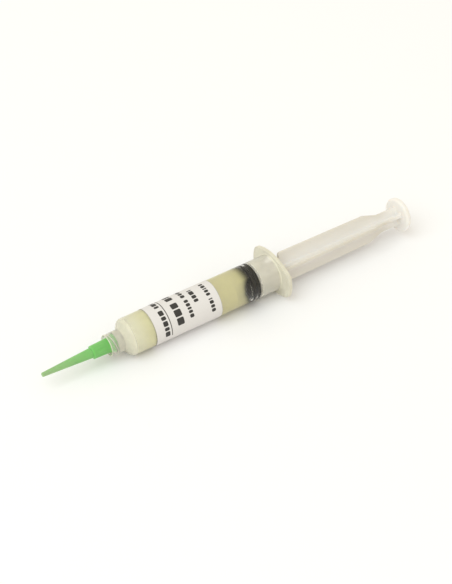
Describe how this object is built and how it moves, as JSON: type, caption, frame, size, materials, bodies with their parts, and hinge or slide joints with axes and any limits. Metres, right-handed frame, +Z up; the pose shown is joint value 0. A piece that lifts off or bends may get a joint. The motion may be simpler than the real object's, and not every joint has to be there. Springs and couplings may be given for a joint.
{
  "type": "flux syringe",
  "caption": "Plastic luer-lock syringe filled with pale gel flux, with a tapered dispensing tip, paper label, rubber stopper and cruciform plunger rod.",
  "frame": {"origin": "centre of the outlet of the dispensing tip, on the axis of the syringe", "axes": "+X along the axis from the outlet to the thumb rest, +Y along the level wings of the finger flange, +Z up"},
  "size_m": [0.1835, 0.0272, 0.0184],
  "materials": {
    "frosted_barrel": "translucent frosted polypropylene, satin",
    "rod_plastic": "natural white polypropylene, satin",
    "stopper_rubber": "black, lubricated",
    "label_paper": "matt white paper with black print",
    "gel_flux": "pale yellow cloudy gel",
    "tip_plastic": "green translucent polyethylene"
  },
  "bodies": {
    "barrel": {"barrel": "frosted_barrel", "label": "label_paper", "flux_gel": "gel_flux"},
    "plunger": {"plunger_rod": "rod_plastic", "stopper": "stopper_rubber"},
    "tip": {"dispensing_tip": "tip_plastic"}
  },
  "joints": [
    {"name": "plunger_slide", "type": "slide", "parent": "barrel", "child": "plunger", "axis": [1, 0, 0], "range_m": [-0.0574, 0.0081], "deforming": ["flux_gel"]},
    {"name": "tip_removal", "type": "slide", "parent": "barrel", "child": "tip", "axis": [-1, 0, 0], "range_m": [0, 0.012]}
  ]
}
